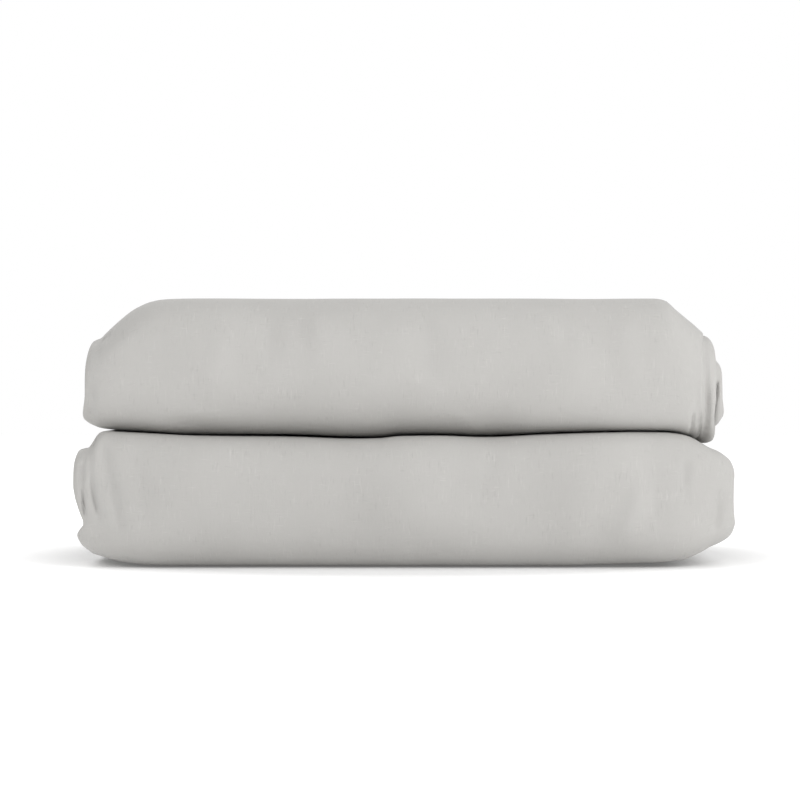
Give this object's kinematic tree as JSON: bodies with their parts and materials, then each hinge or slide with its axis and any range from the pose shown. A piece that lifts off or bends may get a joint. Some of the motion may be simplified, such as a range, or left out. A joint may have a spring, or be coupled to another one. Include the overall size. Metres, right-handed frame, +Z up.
{
  "type": "folded flat sheet",
  "caption": "Flat bed sheet in light grey plain-woven cloth, folded like a book so that one soft rounded fold lies on another",
  "frame": {"origin": "on the surface that the folded sheet rests on, under the middle of its overall box", "axes": "+X along the rounded folds, to the right as seen from in front; the two rounded folds face -Y and the spine faces +Y; +Z up"},
  "size_m": [0.33, 0.23, 0.134],
  "materials": {
    "sheet_cloth": "matt plain weave with fine slubs and a faint sheen, light warm grey"
  },
  "bodies": {
    "root": {"folded_sheet": "sheet_cloth"}
  },
  "joints": []
}
